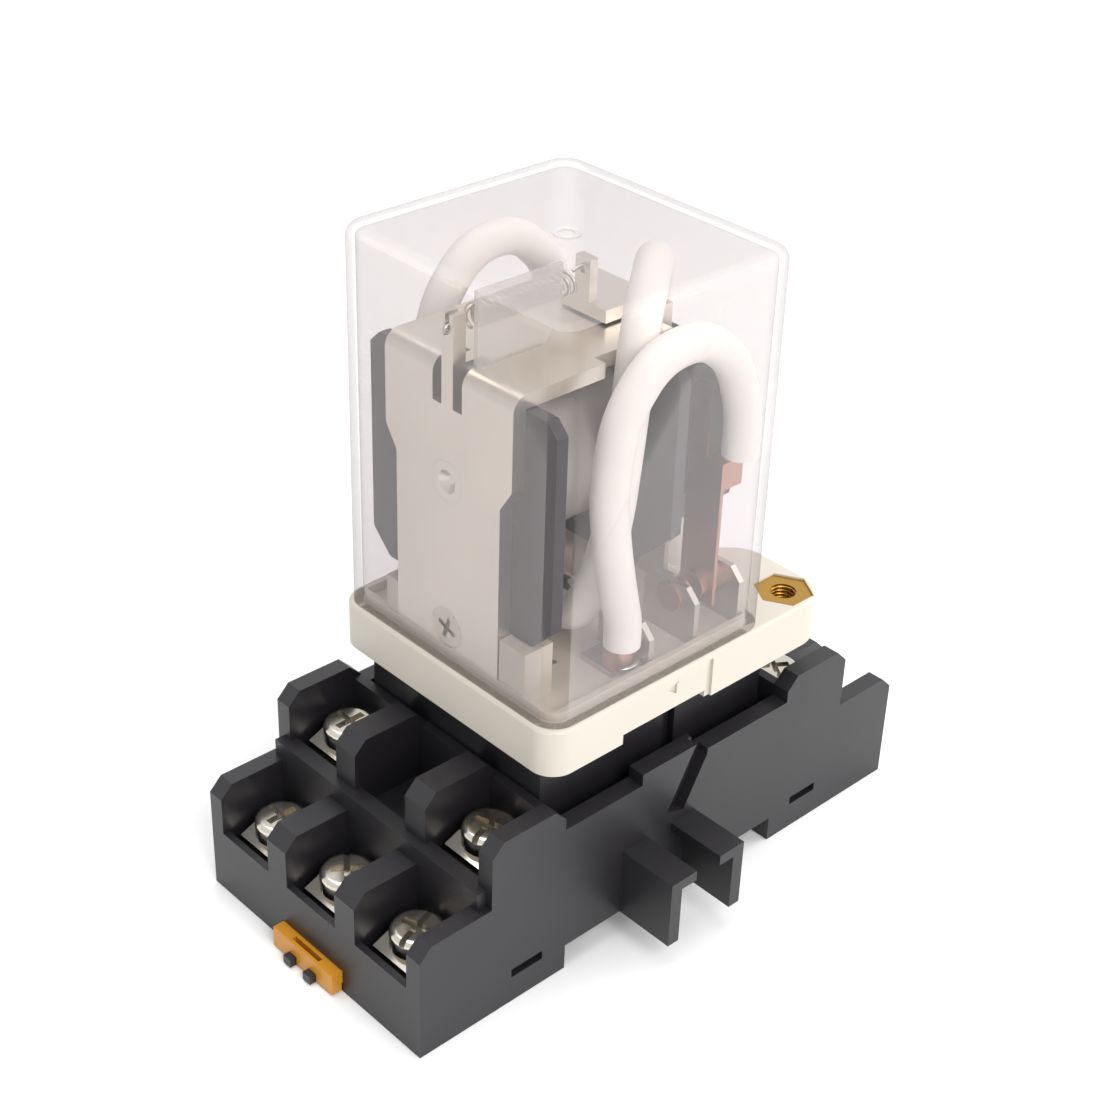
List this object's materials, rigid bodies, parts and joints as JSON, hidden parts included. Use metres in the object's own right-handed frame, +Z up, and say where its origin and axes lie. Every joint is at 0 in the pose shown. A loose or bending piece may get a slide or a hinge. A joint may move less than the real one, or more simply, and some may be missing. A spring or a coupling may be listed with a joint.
{
  "type": "plug in relay",
  "caption": "Plug-in power relay with a clear cover, its coil, frame and rocking armature visible inside, seated in a stepped screw-terminal socket that clips to a rail",
  "frame": {"origin": "Middle of the socket on its underside, at the centre of the rail recess's length", "axes": "+Z up, the way the relay is pulled out; +X towards the six-terminal end; -Y towards the side with the marker bracket"},
  "size_m": [0.0832, 0.0481, 0.0835],
  "materials": {
    "black_plastic": "fine moulded satin",
    "bright_nickel": "bright nickel plate",
    "orange_plastic": "moulded satin",
    "spring_brass": "rolled, unpolished",
    "cream_plastic": "fine moulded satin",
    "brass": "turned brass",
    "copper_alloy": "tinned copper strip",
    "contact_copper": "turned copper alloy",
    "nickel_steel": "satin nickel plate",
    "grey_plastic": "moulded satin",
    "enamelled_copper": "enamelled wire",
    "label_film": "plain film",
    "clear_film": "translucent card",
    "spring_steel": "drawn wire",
    "white_sleeve": "soft silicone",
    "clear_polycarbonate": "clear moulded, slightly smoky"
  },
  "bodies": {
    "socket": {"socket_body": "black_plastic", "bottom_plate": "black_plastic", "bottom_plate_screws": "bright_nickel", "terminal_straps_left": "bright_nickel", "terminal_straps_right": "bright_nickel", "terminal_nuts_left": "bright_nickel", "terminal_nuts_right": "bright_nickel", "terminal_screws_left": "bright_nickel", "terminal_screws_right": "bright_nickel", "saddle_clamps_left": "bright_nickel", "saddle_clamps_right": "bright_nickel", "contact_clips": "spring_brass"},
    "rail_clip": {"rail_clip": "orange_plastic", "clip_grips": "black_plastic"},
    "relay": {"relay_base": "cream_plastic", "hex_inserts": "brass", "open_contact_terminals": "copper_alloy", "closed_contact_terminals": "copper_alloy", "common_terminals": "copper_alloy", "solder_cups": "contact_copper", "coil_terminals": "copper_alloy", "fixed_contact_buttons": "contact_copper", "magnet_frame": "nickel_steel", "frame_screw": "bright_nickel", "coil_bobbin": "grey_plastic", "coil_winding": "enamelled_copper", "coil_wrap": "label_film", "iron_core": "nickel_steel", "spring_guard": "clear_film", "return_spring": "spring_steel", "lead_near": "white_sleeve", "lead_middle": "white_sleeve", "lead_far": "white_sleeve"},
    "armature": {"armature": "nickel_steel", "contact_carrier": "grey_plastic", "moving_blades": "contact_copper", "moving_contact_buttons": "contact_copper", "lead_lugs": "contact_copper"},
    "cover": {"clear_cover": "clear_polycarbonate"}
  },
  "joints": [
    {"name": "clip_slide", "type": "slide", "parent": "socket", "child": "rail_clip", "axis": [-1, 0, 0], "range_m": [0, 0.003], "stiffness_N_per_m": 400, "springref_m": -0.001},
    {"name": "relay_plug", "type": "slide", "parent": "socket", "child": "relay", "axis": [0, 0, 1], "range_m": [0, 0.035]},
    {"name": "cover_lift", "type": "slide", "parent": "relay", "child": "cover", "axis": [0, 0, 1], "range_m": [0, 0.055]},
    {"name": "armature_hinge", "type": "hinge", "parent": "relay", "child": "armature", "pos_m": [0.00645, 0.0009, 0.0725], "axis": [0, 1, 0], "range_deg": [0, 2.6], "stiffness_Nm_per_rad": 0.5, "springref_deg": -2.86}
  ]
}
